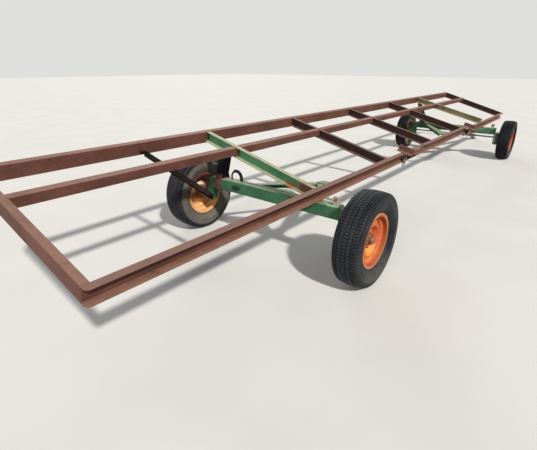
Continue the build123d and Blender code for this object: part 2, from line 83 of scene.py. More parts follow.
class Build:
    """One list of points and faces that small shapes are added to."""
    def __init__(self):
        self.points, self.faces = [], []

    def add(self, points, faces, place=Matrix.Identity(4)):
        first = len(self.points)
        self.points += [place @ Vector(p) for p in points]
        self.faces += [[first + i for i in f] for f in faces]

    def rings(self, rings, place=Matrix.Identity(4)):
        """Joins rings of points into a skin, closed at both ends."""
        n = len(rings[0])
        points = [p for ring in rings for p in ring]
        faces = []
        for a in range(len(rings) - 1):
            for b in range(n):
                c = (b + 1) % n
                faces.append([a * n + b, a * n + c, (a + 1) * n + c, (a + 1) * n + b])
        faces.append(list(range(n))[::-1])
        faces.append([(len(rings) - 1) * n + i for i in range(n)])
        self.add(points, faces, place)

    def lathe(self, profile, count, place=Matrix.Identity(4), turn=0.0):
        """Turns (height, radius) pairs about Z."""
        angles = [turn + 2 * math.pi * k / count for k in range(count)]
        self.rings([[(radius * math.cos(a), radius * math.sin(a), height) for a in angles]
                    for height, radius in profile], place)

    def tube(self, path, radius, count, ripple=0.0):
        """A round bar along a line of points; ripple gives a weld bead's scales."""
        path = [Vector(p) for p in path]
        rings = []
        side = None
        for i, p in enumerate(path):
            ahead = (path[min(i + 1, len(path) - 1)] - path[max(i - 1, 0)]).normalized()
            if side is None:
                side = ahead.orthogonal().normalized()
            side = (side - ahead * side.dot(ahead)).normalized()
            other = ahead.cross(side)
            r = radius * (1 + ripple * math.sin(i * 2.1) + ripple * 0.7 * noise.noise(p * 90))
            rings.append([p + side * (r * math.cos(2 * math.pi * k / count))
                          + other * (r * math.sin(2 * math.pi * k / count)) for k in range(count)])
        self.rings(rings)

    def weld(self, start, end, radius=WELD_R):
        """A weld bead along a straight line."""
        start, end = Vector(start), Vector(end)
        steps = max(3, int((end - start).length / WELD_STEP))
        path = [start.lerp(end, i / steps) for i in range(steps + 1)]
        self.tube(path, radius, WELD_SIDES, WELD_RIPPLE)

    def plate(self, low, high, place):
        """A plate with a small chamfer on its four long edges and round its ends."""
        (x0, y0, z0), (x1, y1, z1) = low, high
        e = CHAMFER

        def ring(x, i):
            """The outline at a place along the plate, drawn in by i."""
            return [(x, y0 + e + i, z0 + i), (x, y1 - e - i, z0 + i),
                    (x, y1 - i, z0 + e + i), (x, y1 - i, z1 - e - i),
                    (x, y1 - e - i, z1 - i), (x, y0 + e + i, z1 - i),
                    (x, y0 + i, z1 - e - i), (x, y0 + i, z0 + e + i)]
        self.rings([ring(x0, e), ring(x0 + e, 0), ring(x1 - e, 0), ring(x1, e)], place)

    def bolt(self, at, axis, size, tail=0.0):
        """Hexagon head on a washer; tail is the length of thread that stands out of the head."""
        place = stand(at, axis)
        turn = random.uniform(0, math.pi / 3)
        self.lathe([(-0.0006, size * 1.08), (0.0012, size * 1.08), (0.0020, size * 0.98)], 20, place)
        start = 0.0018
        across = size * 0.92
        high = size * 0.62
        self.lathe([(start, across * 0.94), (start + 0.0006, across), (start + high * 0.8, across),
                    (start + high, across * 0.84)], 6, place, turn)
        if tail:
            self.lathe([(start + high - 0.001, size * 0.5), (start + high + tail - 0.001, size * 0.5),
                        (start + high + tail, size * 0.42)], 12, place)

    def piece(self, name, body, material, smooth, slot, origin=(0, 0, 0)):
        """Makes the object, which rides on a body; edges of more than smooth degrees stay sharp."""
        origin = Vector(origin)
        mesh = bpy.data.meshes.new(name)
        mesh.from_pydata([p - origin for p in self.points], [], self.faces)
        mesh.validate()
        mesh.update()
        mesh.shade_smooth()
        mesh.set_sharp_from_angle(angle=math.radians(smooth))
        obj = bpy.data.objects.new(name, mesh)
        obj.location = origin
        bpy.context.scene.collection.objects.link(obj)
        obj.data.materials.append(material)
        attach(obj, body)
        return obj


# Materials
def colour(red, green, blue):
    """A colour given as 0 to 255, as the eye reads it, to the shader's own scale."""
    return tuple((v / 12.92 if v <= 0.04045 else ((v + 0.055) / 1.055) ** 2.4)
                 for v in (red / 255, green / 255, blue / 255)) + (1.0,)


class Shader:
    """A principled material whose colour, roughness and relief come from object-space noise."""
    def __init__(self, name):
        self.material = bpy.data.materials.new(name)
        self.material.use_nodes = True
        self.tree = self.material.node_tree
        self.tree.nodes.clear()
        out = self.new("OutputMaterial")
        self.bsdf = self.new("BsdfPrincipled")
        self.link(self.bsdf.outputs[0], out.inputs[0])
        self.where = self.new("TexCoord")
        self.height = None

    def new(self, kind):
        return self.tree.nodes.new("ShaderNode" + kind)

    def link(self, source, target):
        self.tree.links.new(source, target)

    def vector(self, kind, source, value=None):
        """A vector sum on a socket; with no value it is a measure of the vector itself."""
        node = self.new("VectorMath")
        node.operation = kind
        self.link(source, node.inputs[0])
        if value is not None:
            node.inputs[1].default_value = value
        return node.outputs["Value"] if kind == "LENGTH" else node.outputs[0]

    def put(self, value, socket):
        """Links a socket's value, or sets a plain one on the target itself."""
        if isinstance(value, bpy.types.NodeSocket):
            self.link(value, socket)
        else:
            socket.default_value = value

    def math(self, kind, a, b, clamp=False):
        node = self.new("Math")
        node.operation = kind
        node.use_clamp = clamp
        self.put(a, node.inputs[0])
        self.put(b, node.inputs[1])
        return node.outputs[0]

    def times(self, a, b):
        return self.math("MULTIPLY", a, b)

    def fit(self, value, low, high, to_low=0.0, to_high=1.0):
        """Takes the range low to high, with soft ends, to another."""
        node = self.new("MapRange")
        node.interpolation_type = "SMOOTHSTEP"
        self.put(value, node.inputs["Value"])
        node.inputs["From Min"].default_value = low
        node.inputs["From Max"].default_value = high
        node.inputs["To Min"].default_value = to_low
        node.inputs["To Max"].default_value = to_high
        return node.outputs["Result"]

    def noise(self, scale, detail, rough=0.55, stretch=(1, 1, 1), shift=0.0, warp=0.0):
        """Noise in the piece's own space, about 0.5 on average."""
        place = self.new("Mapping")
        place.inputs["Scale"].default_value = [s * scale for s in stretch]
        place.inputs["Location"].default_value = (shift, shift * 0.7, -shift)
        self.link(self.where.outputs["Object"], place.inputs["Vector"])
        node = self.new("TexNoise")
        node.inputs["Scale"].default_value = 1.0
        node.inputs["Detail"].default_value = detail
        node.inputs["Roughness"].default_value = rough
        node.inputs["Distortion"].default_value = warp
        self.link(place.outputs[0], node.inputs["Vector"])
        return node.outputs[0]

    def mix(self, factor, a, b):
        """Colour a where the factor is 0 and b where it is 1."""
        node = self.new("Mix")
        node.data_type = "RGBA"
        self.put(factor, node.inputs[0])
        self.put(a, node.inputs[6])
        self.put(b, node.inputs[7])
        return node.outputs[2]

    def facing(self):
        """1 where the surface faces up, in the piece's own space."""
        split = self.new("SeparateXYZ")
        self.link(self.where.outputs["Normal"], split.inputs[0])
        return self.fit(split.outputs[2], 0.35, 0.9)

    def position(self, axis):
        split = self.new("SeparateXYZ")
        self.link(self.where.outputs["Object"], split.inputs[0])
        return split.outputs[axis]

    def from_axle(self, axle):
        """Distance from a wheel's axle, which runs across at a place along and up."""
        moved = self.vector("SUBTRACT", self.where.outputs["Object"], (axle[0], 0, axle[1]))
        return self.vector("LENGTH", self.vector("MULTIPLY", moved, (1, 0, 1)))

    def inboard(self):
        """1 on a wheel's faces that look at the trailer, and inside its inner half."""
        split = self.new("SeparateXYZ")
        self.link(self.where.outputs["Normal"], split.inputs[0])
        side = self.position(1)
        looks_in = self.fit(self.times(side, split.outputs[1]), -0.5, -0.1, 1.0, 0.0)
        inner_half = self.fit(self.math("ABSOLUTE", side, 0.0), 0.900, 0.925, 1.0, 0.0)
        return self.math("MAXIMUM", looks_in, inner_half)

    def edges(self, radius):
        """1 along outer edges, from the difference between a rounded and the true normal."""
        node = self.new("Bevel")
        node.samples = 6
        node.inputs["Radius"].default_value = radius
        true = self.new("NewGeometry")
        dot = self.new("VectorMath")
        dot.operation = "DOT_PRODUCT"
        self.link(node.outputs[0], dot.inputs[0])
        self.link(true.outputs["Normal"], dot.inputs[1])
        return self.fit(self.math("SUBTRACT", 1.0, dot.outputs["Value"]), 0.02, 0.25)

    def spot(self, centre, radii):
        """1 inside an ellipsoid at a point of the model, fading to 0 at its ragged edge."""
        moved = self.vector("SUBTRACT", self.where.outputs["Object"], centre)
        reach = self.vector("LENGTH", self.vector("DIVIDE", moved, radii))
        wobble = self.math("SUBTRACT", self.noise(45, 5, 0.7), 0.5)
        return self.fit(self.math("ADD", reach, self.times(wobble, 1.1)), 0.35, 1.0, 1.0, 0.0)

    def cavity(self, reach, low=0.35, high=0.85):
        """1 in corners, troughs and cuts no wider than the reach, where shade is painted."""
        node = self.new("AmbientOcclusion")
        node.samples = 8
        node.only_local = True
        node.inputs["Distance"].default_value = reach
        return self.fit(node.outputs["AO"], low, high, 1.0, 0.0)

    def relief(self, value, amount):
        """Adds a share of a value to the height that the bump reads."""
        scaled = self.times(value, amount)
        self.height = scaled if self.height is None else self.math("ADD", self.height, scaled)

    def finish(self, tint, roughness, metallic=0.0, distance=0.001, sheen=0.3):
        """Connects the shader; distance is the relief's depth in metres."""
        self.bsdf.inputs["Specular IOR Level"].default_value = sheen
        self.put(tint, self.bsdf.inputs["Base Color"])
        self.put(roughness, self.bsdf.inputs["Roughness"])
        self.put(metallic, self.bsdf.inputs["Metallic"])
        if self.height is not None:
            bump = self.new("Bump")
            bump.inputs["Strength"].default_value = 1.0
            bump.inputs["Distance"].default_value = distance
            self.link(self.height, bump.inputs["Height"])
            self.link(bump.outputs[0], self.bsdf.inputs["Normal"])
        return self.material


# Painted shade for troughs and corners
TROUGH_SHADE_TINT = colour(18, 13, 12)
# A rear rim's painted highlight on its lip, painted shadow in the ring inside it, and pale streaks
RIM_LIP_HIGHLIGHT = colour(242, 190, 128)
RIM_RING_SHADOW = colour(122, 62, 38)
RIM_STREAK_PAINT = colour(246, 178, 104)


def rim_marks(s, tint, axle, fine):
    """On a rear rim: a painted highlight on the lip, a painted shadow of the lip on the ring inside it,
    and pale streaks on the disc.
    """
    reach = s.from_axle(axle)
    lip = s.times(s.fit(reach, 0.2035, 0.2075), s.fit(fine, 0.3, 0.6, 0.5, 0.9))
    tint = s.mix(lip, tint, RIM_LIP_HIGHLIGHT)
    ring = s.times(s.fit(reach, 0.176, 0.184), s.fit(reach, 0.192, 0.197, 1.0, 0.0))
    tint = s.mix(s.times(ring, 0.5), tint, RIM_RING_SHADOW)
    disc = s.times(s.fit(reach, 0.09, 0.11), s.fit(reach, 0.160, 0.172, 1.0, 0.0))
    streaks = s.times(disc, s.fit(s.noise(34, 4, 0.6, stretch=(1, 1, 2.2), shift=6.6), 0.52, 0.66))
    return s.mix(s.times(streaks, 0.6), tint, RIM_STREAK_PAINT)


def painted(name, base, shade, faded, edge, rust=(colour(92, 52, 36), colour(132, 78, 48)),
            rust_low=0.56, fade=0.55, edge_amount=0.75, dust=colour(178, 150, 126), dust_amount=0.4,
            spots=(), rough=0.62, inboard=None, trough_shade=0.0, sheen=0.3, axle=None):
    """Weathered paint: blotches, faded tops, rust patches, worn edges, dust, pits and marks, and some
    painted light and shade.

    spots are (centre, radii, colour, strength), some of which paint light or shade; inboard is a wheel's
    two colours, low and high, on the
    side that looks at the trailer: dust low and, on the rear rims, painted shade high; trough_shade is
    how much shade is painted in troughs and corners; axle gives a rear rim its painted lip highlight,
    painted lip shadow and pale streaks.
    """
    s = Shader(name)
    broad = s.noise(2.3, 3, 0.5, shift=3.1)
    patch = s.noise(17, 6, 0.62, shift=7.7, warp=0.4)
    fine = s.noise(160, 5, 0.65, shift=1.9)
    streak = s.noise(30, 4, 0.6, stretch=(1, 1, 0.18), shift=5.3)
    blotch = s.math("ADD", s.times(broad, 0.6), s.times(patch, 0.4))
    tint = s.mix(s.fit(blotch, 0.36, 0.64), shade, base)
    up = s.facing()
    worn = s.times(up, s.fit(patch, 0.25, 0.62, 0.35, 1.0))
    tint = s.mix(s.times(worn, fade), tint, faded)
    rusty = s.fit(s.math("ADD", s.times(patch, 0.7), s.times(streak, 0.3)), rust_low, rust_low + 0.09)
    rust_tint = s.mix(s.fit(fine, 0.35, 0.65), rust[0], rust[1])
    tint = s.mix(rusty, tint, rust_tint)
    edge_wear = s.times(s.edges(0.004), s.fit(s.noise(38, 4, 0.6, shift=9.2), 0.33, 0.6))
    tint = s.mix(s.times(edge_wear, edge_amount), tint, edge)
    dusty = s.times(s.fit(s.noise(9, 5, 0.6, shift=12.4), 0.3, 0.7, 0.3, 1.0),
                    s.math("ADD", s.times(up, 0.75), 0.25))
    dusty = s.times(dusty, s.fit(fine, 0.2, 0.8, 0.6, 1.0))
    tint = s.mix(s.times(dusty, dust_amount), tint, dust)
    # Painted highlight and shadow round a rear rim's lip
    if axle:
        tint = rim_marks(s, tint, axle, fine)
    # Painted shade: darker in corners and troughs
    if trough_shade:
        tint = s.mix(s.times(s.cavity(0.11), trough_shade), tint, s.mix(0.2, TROUGH_SHADE_TINT, shade))
    # On the side that looks at the trailer: dust low down and, on the rear rims, painted shade higher up
    if inboard:
        height = s.math("ADD", s.position(2), s.times(patch, 0.1))
        inner_dust_and_shade = s.mix(s.fit(height, 0.27, 0.5), inboard[0], inboard[1])
        tint = s.mix(s.times(s.inboard(), s.fit(patch, 0.25, 0.5, 0.75, 1.0)), tint, inner_dust_and_shade)
    for centre, radii, spot_tint, strength in spots:
        tint = s.mix(s.times(s.spot(centre, radii), strength), tint, spot_tint)
    speck = s.fit(s.noise(420, 2, 0.5, shift=2.2), 0.62, 0.72)
    tint = s.mix(s.times(speck, 0.35), tint, shade)
    s.relief(fine, 0.5)
    s.relief(patch, 0.7)
    s.relief(rusty, 0.25)
    gloss = s.fit(patch, 0.3, 0.7, rough - 0.08, rough + 0.12)
    gloss = s.math("ADD", gloss, s.times(rusty, 0.16), clamp=True)
    return s.finish(tint, gloss, distance=0.0012, sheen=sheen)


def iron(name, light, dark, dust, metallic, rough=0.55, dust_amount=0.5):
    """Bare or thinly painted iron with rust bloom and dust."""
    s = Shader(name)
    patch = s.noise(40, 6, 0.6, shift=4.4, warp=0.3)
    fine = s.noise(300, 4, 0.6, shift=8.8)
    tint = s.mix(s.fit(patch, 0.35, 0.65), dark, light)
    rusty = s.fit(s.noise(70, 5, 0.65, shift=2.7), 0.52, 0.64)
    tint = s.mix(s.times(rusty, 0.6), tint, colour(112, 70, 46))
    tint = s.mix(s.times(s.edges(0.002), 0.5), tint, light)
    dusty = s.times(s.math("ADD", s.times(s.facing(), 0.7), 0.3),
                    s.fit(fine, 0.3, 0.7, dust_amount * 0.4, dust_amount))
    tint = s.mix(dusty, tint, dust)
    s.relief(fine, 0.5)
    s.relief(patch, 0.5)
    gloss = s.fit(patch, 0.3, 0.7, rough - 0.08, rough + 0.15)
    return s.finish(tint, gloss, s.fit(rusty, 0.0, 1.0, metallic, metallic * 0.2), distance=0.0008)


def riser_painted_shade():
    """Painted shade: almost black above the beam; brown where the plate laps down over it."""
    s = Shader("riser_painted_shade")
    patch = s.noise(17, 6, 0.62, shift=7.7, warp=0.4)
    fine = s.noise(160, 5, 0.65, shift=1.9)
    height = s.math("ADD", s.position(2), s.times(patch, 0.03))
    low = s.fit(height, 0.610, 0.650, 1.0, 0.0)
    near = s.fit(s.position(0), REAR_BEAM_FACE_X - 0.001, REAR_BEAM_FACE_X + 0.001, 1.0, 0.0)
    dark = s.mix(s.fit(patch, 0.35, 0.65), colour(12, 13, 15), colour(24, 23, 28))
    lit = s.mix(s.fit(patch, 0.35, 0.65), colour(88, 52, 47), colour(124, 80, 74))
    tint = s.mix(s.times(low, near), dark, lit)
    tint = s.mix(s.times(s.edges(0.004), 0.5), tint, colour(110, 96, 98))
    s.relief(fine, 0.5)
    s.relief(patch, 0.7)
    return s.finish(tint, s.fit(patch, 0.3, 0.7, 0.6, 0.8), distance=0.0012, sheen=0.08)


def rubber(name, radius, out_side, dark, light, worn_tint):
    """Tyre rubber: worn tread, dirt in the grooves, painted shade in the cuts, dust low on the walls,
    fine grain.
    """
    s = Shader(name)
    out = s.from_axle((0, 0))
    patch = s.noise(14, 5, 0.6, shift=6.1)
    fine = s.noise(260, 5, 0.6, shift=3.3)
    tint = s.mix(s.fit(patch, 0.3, 0.7), dark, light)
    worn = s.fit(out, radius - 0.0055, radius - 0.0010)
    tint = s.mix(s.times(worn, s.fit(fine, 0.3, 0.7, 0.25, 0.55)), tint, worn_tint)
    groove = s.times(s.fit(out, radius - 0.016, radius - 0.011),
                     s.fit(out, radius - 0.009, radius - 0.005, 1.0, 0.0))
    tint = s.mix(s.times(groove, 0.55), tint, colour(40, 38, 36))
    by_the_rim = s.times(s.fit(out, 0.205, 0.222, 1.0, 0.0), s.fit(patch, 0.3, 0.6))
    tint = s.mix(s.times(by_the_rim, 0.35), tint, colour(112, 98, 82))
    # Painted shade: darker in the cuts and grooves
    tint = s.mix(s.times(s.cavity(0.007, 0.45, 0.9), 0.65), tint, colour(10, 11, 13))
    dust = s.fit(s.noise(6, 5, 0.65, shift=9.9), 0.38, 0.75)
    tint = s.mix(s.times(dust, 0.16), tint, colour(104, 102, 98))
    low = s.times(s.fit(s.position(2), -radius * 0.9, -radius * 0.35, 1.0, 0.0),
                  s.fit(out, radius - 0.06, radius - 0.04, 1.0, 0.0))
    tint = s.mix(s.times(low, s.fit(patch, 0.3, 0.7, 0.25, 0.6)), tint, colour(118, 112, 102))
    inner_wall = s.fit(s.times(s.position(1), out_side), -0.085, -0.060, 1.0, 0.0)
    wall = s.times(s.fit(out, radius - 0.055, radius - 0.035, 1.0, 0.0), inner_wall)
    tint = s.mix(s.times(wall, s.fit(patch, 0.3, 0.7, 0.6, 0.9)), tint, colour(112, 106, 98))
    s.relief(fine, 0.5)
    s.relief(patch, 0.15)
    return s.finish(tint, s.fit(patch, 0.3, 0.7, 0.46, 0.62), distance=0.0006, sheen=0.16)


# Marks on the paint, and painted light and shade: centre, radii, colour, strength. Two long marks run
# down each length of the low rail, from its middle: painted shade on its top flange and painted light on
# its lower lip; their reach makes up for a mark's faded end.
LOW_REAR_X, LOW_REAR_HALF = -1.6, 5.2
LOW_FRONT_X, LOW_FRONT_HALF = 3.0, 2.9
TOP_FLANGE_SHADE, LOWER_LIP_LIGHT = colour(112, 88, 84), colour(150, 108, 86)
OLD_STAIN, RIM_PAINTED_LIGHT = colour(62, 40, 36), colour(240, 228, 200)
LOW_RAIL_SPOTS = [
    (frame_point(LOW_REAR_X, 0.02, 0), (LOW_REAR_HALF, 0.08, 0.010), TOP_FLANGE_SHADE, 0.55),
    (frame_point(LOW_REAR_X, -0.005, -0.094), (LOW_REAR_HALF, 0.05, 0.024), LOWER_LIP_LIGHT, 0.5),
    (frame_point(LOW_FRONT_X, 0.02, -0.05), (LOW_FRONT_HALF, 0.08, 0.010), TOP_FLANGE_SHADE, 0.55),
    (frame_point(LOW_FRONT_X, -0.005, -0.144), (LOW_FRONT_HALF, 0.05, 0.024), LOWER_LIP_LIGHT, 0.5),
    (frame_point(-0.6, 0.02, 0), (0.05, 0.04, 0.02), OLD_STAIN, 0.7),
    (frame_point(0.2, 0.02, 0), (0.04, 0.04, 0.02), OLD_STAIN, 0.7),
]
HIGH_RAIL_SPOTS = [(frame_point(-3.37, 1.2, -0.03), (0.05, 0.03, 0.05), colour(196, 176, 160), 0.5)]
BEAM_SPOTS = [
    ((REAR_AXLE_X - 0.04, -0.35, 0.53), (0.02, 0.06, 0.03), colour(112, 76, 56), 0.6),
    ((REAR_AXLE_X, 0.56, REAR_BEAM_TOP), (0.06, 0.14, 0.02), colour(176, 140, 124), 0.8),
    ((REAR_AXLE_X, -0.64, REAR_BEAM_TOP), (0.07, 0.13, 0.02), colour(158, 196, 164), 0.85),
    ((REAR_AXLE_X, -0.50, REAR_BEAM_TOP), (0.07, 0.06, 0.02), colour(168, 116, 84), 0.7),
    ((REAR_BEAM_FACE_X, 0.370, 0.515), (0.02, 0.075, 0.035), colour(22, 38, 32), 0.9),
]
REAR_MEMBER_X = CROSS_LIPS[0] + FLANGE
REAR_MEMBER_SPOTS = [
    (frame_point(REAR_MEMBER_X, 0.13, -0.05), (0.10, 0.11, 0.07), colour(112, 64, 46), 0.95),
    (frame_point(REAR_MEMBER_X, 0.27, -0.085), (0.10, 0.09, 0.03), colour(156, 92, 58), 0.9),
    (frame_point(REAR_MEMBER_X, 0.55, -0.02), (0.10, 0.05, 0.02), colour(150, 110, 82), 0.5),
]
# Painted light in sunlit patches on the left rear rim's inner disc, and a yellow patch low on the right
# rear rim's disc
RIM_SPOTS = [
    ((REAR_AXLE_X + 0.009, 0.90, 0.450), (0.080, 0.08, 0.050), RIM_PAINTED_LIGHT, 0.95),
    ((REAR_AXLE_X - 0.108, 0.90, 0.410), (0.025, 0.06, 0.028), RIM_PAINTED_LIGHT, 0.9),
    ((REAR_AXLE_X - 0.02, -0.935, 0.265), (0.12, 0.06, 0.085), colour(248, 176, 88), 0.7),
]
RIM_RUST = (colour(134, 70, 40), colour(170, 92, 52))

BROWN = dict(base=colour(118, 74, 63), shade=colour(86, 51, 43), faded=colour(144, 108, 97),
             edge=colour(174, 138, 120), rust_low=0.6, dust=colour(156, 130, 112), dust_amount=0.32)
# Painted shade in the troughs of the frame's channels, less of it on the low rail
brown = painted("weathered_brown_paint", trough_shade=0.75, spots=HIGH_RAIL_SPOTS, **BROWN)
low_brown = painted("low_rail_paint", trough_shade=0.3, spots=LOW_RAIL_SPOTS, **BROWN)
# name, base, shade, faded, edge
# Painted shade: a darker copy of the brown for the troughs of the second to fourth cross members and the
# front end member
trough_shaded_brown = painted(
    "shaded_brown_paint",
    colour(62, 40, 37), colour(44, 29, 28), colour(136, 106, 96), colour(150, 108, 94),
    rust_low=0.62, dust=colour(150, 116, 96), dust_amount=0.2)
plate_brown = painted(
    "rusty_bracket_paint",
    colour(108, 70, 62), colour(84, 52, 47), colour(152, 114, 102), colour(184, 146, 132),
    rust_low=0.58, dust_amount=0.3)
# Painted shade: the stub angle bar near black
bar_shaded_brown = painted(
    "bar_painted_shade",
    colour(18, 12, 11), colour(12, 9, 8), colour(26, 18, 16), colour(104, 80, 74),
    rust_low=0.72, fade=0.4, edge_amount=0.35, dust_amount=0.03, sheen=0.05)
# Painted shade in the troughs of the axles and hounds
green = painted(
    "worn_green_paint",
    colour(58, 118, 84), colour(38, 88, 62), colour(148, 166, 134), colour(192, 192, 156),
    rust_low=0.6, fade=0.75, edge_amount=0.9, dust_amount=0.25, trough_shade=0.35, spots=BEAM_SPOTS)
# Painted light: a lighter copy of the green for the rear green cross member, with its real rust marks
green_painted_light = painted(
    "green_paint_painted_light",
    colour(92, 164, 122), colour(62, 126, 94), colour(164, 172, 140), colour(204, 192, 150),
    rust_low=0.6, fade=0.95, edge_amount=1.0, dust=colour(188, 156, 128), dust_amount=0.5,
    spots=REAR_MEMBER_SPOTS)
dark_green = painted(
    "shaded_green_paint",
    colour(34, 60, 48), colour(24, 42, 36), colour(82, 104, 84), colour(96, 116, 96),
    rust_low=0.62, fade=0.6, edge_amount=0.4, dust_amount=0.15)
washed_green = painted(
    "washed_green_paint",
    colour(158, 152, 118), colour(124, 116, 90), colour(186, 180, 152), colour(196, 190, 160),
    rust_low=0.55, fade=0.9, edge_amount=0.8, dust_amount=0.4)
# The rear rims: painted highlight and shadow at the lip, painted shade high on the inner side, painted
# light in RIM_SPOTS
orange = painted(
    "faded_orange_paint",
    colour(214, 112, 66), colour(184, 84, 46), colour(228, 150, 96), colour(240, 168, 106),
    rust=RIM_RUST, rust_low=0.63, fade=0.3, edge_amount=0.5, dust=colour(214, 158, 112), dust_amount=0.35,
    rough=0.5, inboard=(colour(236, 182, 122), colour(92, 54, 42)), spots=RIM_SPOTS,
    axle=(REAR_AXLE_X, REAR_TYRE_R))
front_orange = painted(
    "dusty_orange_paint",
    colour(206, 112, 70), colour(170, 84, 52), colour(218, 150, 108), colour(228, 164, 120),
    rust=RIM_RUST, rust_low=0.6, fade=0.3, edge_amount=0.5, dust=colour(204, 160, 128), dust_amount=0.6,
    rough=0.6, inboard=(colour(158, 138, 112), colour(122, 106, 88)))
riser_shaded = riser_painted_shade()
# name, light, dark, dust, metallic, roughness, amount of dust
hub_iron = iron(
    "dusty_hub_iron", colour(158, 112, 84), colour(98, 64, 48), colour(176, 132, 102), 0.15)
steel = iron(
    "weathered_steel", colour(126, 118, 112), colour(78, 68, 62), colour(150, 132, 114), 0.55, 0.45)
bolt_steel = iron(
    "bolt_steel", colour(132, 116, 104), colour(84, 62, 52), colour(150, 122, 104), 0.5, 0.5, 0.4)
black_iron = iron(
    "black_iron", colour(44, 40, 38), colour(26, 24, 24), colour(84, 76, 70), 0.3, 0.55, 0.25)
nut_iron = iron(
    "rusty_nut_iron", colour(182, 112, 74), colour(118, 66, 44), colour(190, 138, 100), 0.2, 0.6, 0.4)
stake_iron = iron(
    "dusty_stake_iron", colour(206, 186, 166), colour(160, 138, 122), colour(208, 190, 168), 0.2, 0.6)
bright = iron(
    "bright_clamp_steel", colour(196, 194, 188), colour(140, 136, 130), colour(186, 178, 164),
    0.75, 0.35, 0.3)

# The finish of each CAD node by how its name starts; the rest of the frame is brown
FINISHES = [
    (low_brown, ("rail_right",)),
    (trough_shaded_brown, ("cross_member_second", "cross_member_third", "cross_member_fourth",
                  "end_member_front")),
    (green_painted_light, ("cross_member_green_rear",)),
    (washed_green, ("cross_member_green_front",)),
    (green, ("rear_axle", "front_axle", "rear_hounds", "front_hounds", "knuckle", "steering_yoke")),
    (steel, ("tie_rod", "steering_post", "tongue")),
    (plate_brown, ("header_rest",)),
    (bar_shaded_brown, ("stub_angle_bar",)),
    (dark_green, ("front_riser_left",)),
    (riser_shaded, ("rear_riser_left",)),
    (black_iron, ("rear_tie_down_loop",)),
    (stake_iron, ("right_rail_stakes",)),
    (orange, ("rim_rear",)),
    (front_orange, ("rim_front",)),
    (hub_iron, ("hub",)),
]
for name, obj in nodes.items():
    matching = [finish for finish, starts in FINISHES if name.startswith(starts)]
    obj.data.materials.clear()
    obj.data.materials.append(matching[0] if matching else brown)

# Tyres. Each pitch of the tread has eight steps round; sipes are the low ones.
PITCHES = 96
STEPS = (0.0, 0.04, 0.21, 0.25, 0.50, 0.53, 0.62, 0.65)
LOW_A, LOW_B = (1, 2), (5, 6)
RIM_RADIUS, BEAD_SEAT, BEAD_LIP = 0.1905, 0.1908, 0.2128
SHOULDER, CROWN_DROP, CROWN_POWER = 0.020, 0.0065, 2.4
# Grooves at these shares of the tread's half width, and the cuts across ribs, shoulders and lugs
INNER_GROOVE, OUTER_GROOVE = 0.016 / 0.078, 0.049 / 0.078
GROOVE_WIDTH, GROOVE_DEPTH, GROOVE_WALL = 0.0060, 0.0085, 0.0012
RIB_CUT, SHOULDER_CUT, LUG_CUT = 0.006, 0.0075, 0.0065
ZIGZAG, SLANT, SLANT_TURNS = 0.0022, 0.007, 4.4
# Dark, light and worn tints of the rubber; the front tints are darker, as painted shade
REAR_RUBBER = (colour(22, 25, 30), colour(34, 37, 43), colour(56, 60, 66))
FRONT_RUBBER_SHADED = (colour(7, 9, 12), colour(13, 15, 19), colour(24, 26, 30))


def tread_columns(half):
    """Across the tread: place, drop from the crown, zigzag share, which sipes cut it, sipe depth."""
    edge = half - SHOULDER
    inner, outer, gap = INNER_GROOVE * edge, OUTER_GROOVE * edge, GROOVE_WIDTH / 2
    rows = []

    def crown(y):
        return CROWN_DROP * (abs(y) / edge) ** CROWN_POWER

    def rib(y0, y1, sipes, depth, zig0=1.0, zig1=1.0):
        parts = 3
        for k in range(parts + 1):
            y = y0 + (y1 - y0) * k / parts
            cut = depth if 0 < k < parts else depth * 0.9
            rows.append((y, crown(y), zig0 + (zig1 - zig0) * k / parts, sipes, cut))

    def groove(middle):
        low, high = middle - gap, middle + gap
        for y in (low + GROOVE_WALL, (low + high) / 2, high - GROOVE_WALL):
            rows.append((y, crown(y) + GROOVE_DEPTH, 1.0, (), 0.0))

    rib(-edge, -outer - gap, LOW_A, SHOULDER_CUT, 0.0, 1.0)
    groove(-outer)
    rib(-outer + gap, -inner - gap, LOW_B, RIB_CUT)
    groove(-inner)
    rib(-inner + gap, inner - gap, LOW_A, RIB_CUT)
    groove(inner)
    rib(inner + gap, outer - gap, LOW_B, RIB_CUT)
    groove(outer)
    rib(outer + gap, edge, LOW_A, SHOULDER_CUT, 1.0, 0.0)
    return rows


